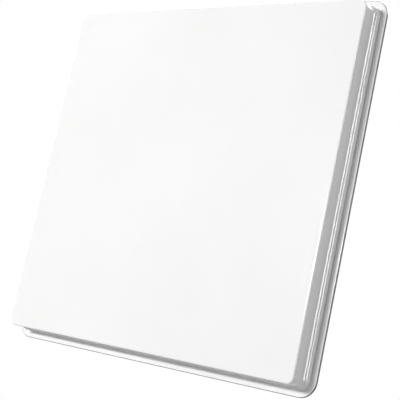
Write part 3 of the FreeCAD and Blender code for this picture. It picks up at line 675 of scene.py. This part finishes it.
def finish(name, shades, patch, roughness, grain, height, metallic=0.0, matte_back=0.0):
    """A surface with drifting shade, uneven gloss and a fine grain, sizes in metres."""
    material = bpy.data.materials.new(name)
    material.use_nodes = True
    nodes = material.node_tree.nodes
    links = material.node_tree.links
    shader = nodes["Principled BSDF"]
    shader.inputs["Metallic"].default_value = metallic
    place = nodes.new("ShaderNodeTexCoord").outputs["Object"]

    def noise(size, detail):
        node = nodes.new("ShaderNodeTexNoise")
        node.inputs["Scale"].default_value = 1 / size
        node.inputs["Detail"].default_value = detail
        links.new(place, node.inputs["Vector"])
        return node.outputs["Fac"]

    shade = nodes.new("ShaderNodeValToRGB")
    for element, position, colour in zip(shade.color_ramp.elements, SHADE_RANGE, shades):
        element.position = position
        element.color = (*colour, 1.0)
    links.new(noise(patch, SHADE_DETAIL), shade.inputs["Fac"])
    links.new(shade.outputs["Color"], shader.inputs["Base Color"])
    gloss = nodes.new("ShaderNodeMapRange")
    gloss.inputs["To Min"].default_value, gloss.inputs["To Max"].default_value = roughness
    links.new(noise(patch / GLOSS_PATCHES, GLOSS_DETAIL), gloss.inputs["Value"])
    rough = gloss.outputs["Result"]
    if matte_back:
        axes = nodes.new("ShaderNodeSeparateXYZ")
        links.new(place, axes.inputs["Vector"])
        behind = nodes.new("ShaderNodeMapRange")
        behind.inputs["From Min"].default_value = MATTE_START
        behind.inputs["From Max"].default_value = MATTE_START + MATTE_BLEND
        behind.inputs["To Max"].default_value = matte_back
        links.new(axes.outputs["Y"], behind.inputs["Value"])
        total = nodes.new("ShaderNodeMath")
        links.new(rough, total.inputs[0])
        links.new(behind.outputs["Result"], total.inputs[1])
        rough = total.outputs["Value"]
    links.new(rough, shader.inputs["Roughness"])
    bump = nodes.new("ShaderNodeBump")
    bump.inputs["Strength"].default_value = BUMP_STRENGTH
    bump.inputs["Distance"].default_value = height
    links.new(noise(grain, GRAIN_DETAIL), bump.inputs["Height"])
    links.new(bump.outputs["Normal"], shader.inputs["Normal"])
    return material


print("matt from y %.4f" % MATTE_START)

# %% Finishes of the mouldings and fittings
WHITE = finish("white_moulding", ((0.90, 0.90, 0.895), (0.93, 0.93, 0.93)),
               patch=0.18, roughness=(0.11, 0.14), grain=0.0007, height=0.00001)
TRAY = finish("tray_moulding", ((0.885, 0.885, 0.88), (0.92, 0.92, 0.915)),
              patch=0.15, roughness=(0.11, 0.15), grain=0.0006, height=0.00001, matte_back=0.4)
NICKEL = finish("bright_nickel", ((0.60, 0.59, 0.56), (0.70, 0.69, 0.66)),
                patch=0.004, roughness=(0.16, 0.28), grain=0.0002, height=0.000006, metallic=1.0)
BRASS = finish("turned_brass", ((0.66, 0.48, 0.20), (0.76, 0.59, 0.29)),
               patch=0.004, roughness=(0.22, 0.36), grain=0.0003, height=0.000008, metallic=1.0)
RUBBER = finish("black_rubber", ((0.020, 0.020, 0.020), (0.035, 0.035, 0.034)),
                patch=0.03, roughness=(0.70, 0.85), grain=0.0005, height=0.00004)
FOAM = finish("cell_foam", ((0.80, 0.80, 0.77), (0.90, 0.90, 0.88)),
              patch=0.006, roughness=(0.85, 0.95), grain=0.0012, height=0.0004)
SILVERED = finish("silvered_plastic", ((0.62, 0.62, 0.60), (0.74, 0.74, 0.72)),
                  patch=0.05, roughness=(0.25, 0.38), grain=0.0008, height=0.00002, metallic=0.9)
CAST = finish("cast_aluminium", ((0.52, 0.52, 0.53), (0.66, 0.66, 0.67)),
              patch=0.02, roughness=(0.42, 0.60), grain=0.0009, height=0.00006, metallic=1.0)
SHEET = finish("sheet_aluminium", ((0.62, 0.62, 0.63), (0.72, 0.72, 0.73)),
               patch=0.03, roughness=(0.30, 0.42), grain=0.0004, height=0.00001, metallic=1.0)
BOARD = finish("board_lacquer", ((0.02, 0.16, 0.07), (0.04, 0.24, 0.11)),
               patch=0.012, roughness=(0.28, 0.42), grain=0.0010, height=0.00003)
CHIP = finish("chip_resin", ((0.02, 0.02, 0.02), (0.04, 0.04, 0.04)),
              patch=0.006, roughness=(0.45, 0.60), grain=0.0004, height=0.00002)
INSULATOR = finish("socket_insulator_white", ((0.80, 0.79, 0.75), (0.88, 0.87, 0.84)),
                   patch=0.003, roughness=(0.40, 0.52), grain=0.0003, height=0.00001)
print("finishes", len(bpy.data.materials))

# %% [markdown]
# ## Painted edge shade
# A thin dark line of painted shade along the outer edge of the flange stands in for the shade on the rim's
# side and underside, and draws the panel's outline on a pale background.
# A second material would need a clean cut through the mesh. Instead the tray's own finish measures
# how far a point lies outside a square, with the same round corners as the panel,
# and turns to a painted shade grey beyond a set distance.

# %% Painted shade on the edge of the tray's rim
# The grey of this ring is painted shade for the rim's side and underside, not a colour of the moulding.
EDGE_START = 12.9
EDGE_BLEND = 0.25
EDGE_SHADE_GREY = (0.15, 0.15, 0.155, 1.0)


def paint_edge_shade(material):
    """Darken the ring that lies further out than the edge's start, as painted shade."""
    nodes = material.node_tree.nodes
    links = material.node_tree.links
    inner = (FACE_HALF - CORNER_RADIUS) * MM
    spread = nodes["Texture Coordinate"].outputs["Object"]
    for step, amount in (
            ("MULTIPLY", (1, 0, 1)),
            ("ABSOLUTE", None),
            ("SUBTRACT", (inner, 0, inner)),
            ("MAXIMUM", (0, 0, 0)),
            ("LENGTH", None)):
        node = nodes.new("ShaderNodeVectorMath")
        node.operation = step
        links.new(spread, node.inputs[0])
        if amount:
            node.inputs[1].default_value = amount
        spread = node.outputs["Value" if step == "LENGTH" else "Vector"]
    ring = nodes.new("ShaderNodeMapRange")
    ring.inputs["From Min"].default_value = (CORNER_RADIUS + EDGE_START) * MM
    ring.inputs["From Max"].default_value = (CORNER_RADIUS + EDGE_START + EDGE_BLEND) * MM
    links.new(spread, ring.inputs["Value"])
    blend = nodes.new("ShaderNodeMixRGB")
    blend.inputs["Color2"].default_value = EDGE_SHADE_GREY
    links.new(ring.outputs["Result"], blend.inputs["Fac"])
    links.new(nodes["Color Ramp"].outputs["Color"], blend.inputs["Color1"])
    links.new(blend.outputs["Color"], nodes["Principled BSDF"].inputs["Base Color"])


# The tray's finish takes the ring of painted shade.
paint_edge_shade(TRAY)
print("edge line from %.1f mm outside the face" % EDGE_START)

# %% [markdown]
# ## Painting
# The dressed pieces have no material yet, while the solids that stay carry the plain one of their slot.
# Both get their finish from one list, so that no surface is forgotten.

# %% Each piece and each solid gets its finish
PAINT = {
    WHITE: ["cover"],
    TRAY: ["tray", "spine_shell"],
    NICKEL: ["socket"],
    BRASS: ["inserts", "probe_vertical", "probe_horizontal", "socket_contact"],
    RUBBER: ["rim_seal"],
    FOAM: ["foam_spacer"],
    SILVERED: ["horn_plate", "coupling_plate", "upper_feed_plate", "lower_feed_plate"],
    CAST: ["base_plate"],
    SHEET: ["lnb_lid"],
    BOARD: ["lnb_board"],
    CHIP: ["board_components"],
    INSULATOR: ["socket_insulator"],
}
for material, names in PAINT.items():
    for name in names:
        piece = bpy.data.objects[name]
        if piece.data.materials:
            for index in range(len(piece.data.materials)):
                piece.data.materials[index] = material
        else:
            piece.data.materials.append(material)
    print(material.name, "on", ", ".join(names))

# %% [markdown]
# ## Studio
# The floor lies well below the panel, as in a studio where the panel hangs on a stand.
# Floor and background are pale for rays that come from the camera, a mirror or a glass.
# For the light that falls on the panel the world is only a quiet even fill,
# so a white background doesn't wash out the shades of a white object.

# %% Rays that see the background
SEEING_RAYS = ("Is Glossy Ray", "Is Transmission Ray")


def seen_rays(tree, low, high):
    """A value that is high for rays from the camera, a mirror or a glass, and low for all others."""
    path = tree.nodes.new("ShaderNodeLightPath")
    seen = path.outputs["Is Camera Ray"]
    for ray in SEEING_RAYS:
        either = tree.nodes.new("ShaderNodeMath")
        either.operation = "MAXIMUM"
        tree.links.new(seen, either.inputs[0])
        tree.links.new(path.outputs[ray], either.inputs[1])
        seen = either.outputs["Value"]
    level = tree.nodes.new("ShaderNodeMapRange")
    level.inputs["To Min"].default_value = low
    level.inputs["To Max"].default_value = high
    tree.links.new(seen, level.inputs["Value"])
    return level.outputs["Result"]


print("seen by the camera,", ", ".join(SEEING_RAYS))

# %% Floor
FLOOR_DROP = 0.60
FLOOR_RADIUS = 2.4
FLOOR_PALE = 0.55
FLOOR_GLOW = (0.92, 0.92, 0.92, 1)
FLOOR_SEGMENTS = 96
bm = bmesh.new()
bmesh.ops.create_circle(bm, cap_ends=True, segments=FLOOR_SEGMENTS, radius=FLOOR_RADIUS,
                        matrix=Matrix.Translation((0, 0, CAD_BOX[0].z - FLOOR_DROP)))
floor = new_piece("floor", bm)
paper = finish("pale_floor", ((0.50, 0.50, 0.50), (0.54, 0.54, 0.54)),
               patch=0.6, roughness=(0.8, 0.9), grain=0.004, height=0.0001)
tree = paper.node_tree
glow = tree.nodes.new("ShaderNodeEmission")
glow.inputs["Color"].default_value = FLOOR_GLOW
blend = tree.nodes.new("ShaderNodeMixShader")
tree.links.new(seen_rays(tree, 0.0, FLOOR_PALE), blend.inputs["Fac"])
tree.links.new(tree.nodes["Principled BSDF"].outputs["BSDF"], blend.inputs[1])
tree.links.new(glow.outputs["Emission"], blend.inputs[2])
tree.links.new(blend.outputs["Shader"], tree.nodes["Material Output"].inputs["Surface"])
floor.data.materials.append(paper)
print("floor at z %.3f" % (CAD_BOX[0].z - FLOOR_DROP))

# %% Background
FILL = 0.06
world = bpy.data.worlds.new("studio")
bpy.context.scene.world = world
world.use_nodes = True
background = world.node_tree.nodes["Background"]
background.inputs["Color"].default_value = (1, 1, 1, 1)
world.node_tree.links.new(seen_rays(world.node_tree, FILL, 1.0), background.inputs["Strength"])
print("fill", FILL)

# %% [markdown]
# ## Lamps
# A white object on white is drawn by its lamps. The key stands well in front of the panel and left of
# the camera, where the front doesn't mirror it: the cover is bright and even, its right wall in shade.
# The strip on the right is tall and narrow, and stands where the slopes of bead and lip mirror it
# towards the camera: that gives the two bright lines along the seam.
# The top lamp lifts the upper edges, the corner lamp shines over the rim onto the rounded upper right
# corner of the cover, and the wide rear lamp shows the back to whoever walks round the panel.
# Each row below gives a lamp's name, its place, its width and height, and its power in watts.

# %% Lamps
PANEL = Vector((0.0, CAD_BOX[0].y, 0.0))
LAMPS = [
    ("key", (-0.73, -3.00, 0.30), 0.52, 0.32, 74.0),
    ("right", (2.094, -0.543, 0.35), 0.16, 1.50, 11.5),
    ("top", (0.10, -0.20, 1.50), 0.40, 0.40, 5.0),
    ("corner", (0.43, 1.10, 1.05), 0.90, 0.44, 7.0),
    ("rear", (-0.20, 1.80, 0.10), 2.20, 1.50, 17.0),
]
for name, spot, width, height, power in LAMPS:
    lamp = bpy.data.lights.new(name, "AREA")
    lamp.shape = "RECTANGLE"
    lamp.size = width
    lamp.size_y = height
    lamp.energy = power
    holder = bpy.data.objects.new(name, lamp)
    holder.location = spot
    holder.rotation_euler = (PANEL - Vector(spot)).to_track_quat("-Z", "Y").to_euler()
    bpy.context.scene.collection.objects.link(holder)
    print(name, "power", power)

# %% [markdown]
# ## Camera
# The photograph looks up at the panel from below and to its right, with the camera turned a little
# about its own axis. Place, aim and roll were fitted to the corners of the front face.

# %% Camera
CAMERA_PLACE = Vector((0.89216, -1.14882, -0.26019))
CAMERA_AIM = Vector((0.05643, -0.06000, -0.03469))
CAMERA_ROLL = 12.28
LENS = 88.17
SENSOR = 36.0
lens = bpy.data.cameras.new("camera")
lens.lens = LENS
lens.sensor_width = SENSOR
camera = bpy.data.objects.new("camera", lens)
camera.location = CAMERA_PLACE
look = (CAMERA_AIM - CAMERA_PLACE).to_track_quat("-Z", "Y").to_matrix()
camera.rotation_euler = (look @ Matrix.Rotation(math.radians(CAMERA_ROLL), 3, "Z")).to_euler()
bpy.context.scene.collection.objects.link(camera)
bpy.context.scene.camera = camera
bpy.context.scene.view_settings.view_transform = "Standard"
print("camera %.3f m from its aim" % (CAMERA_AIM - CAMERA_PLACE).length)
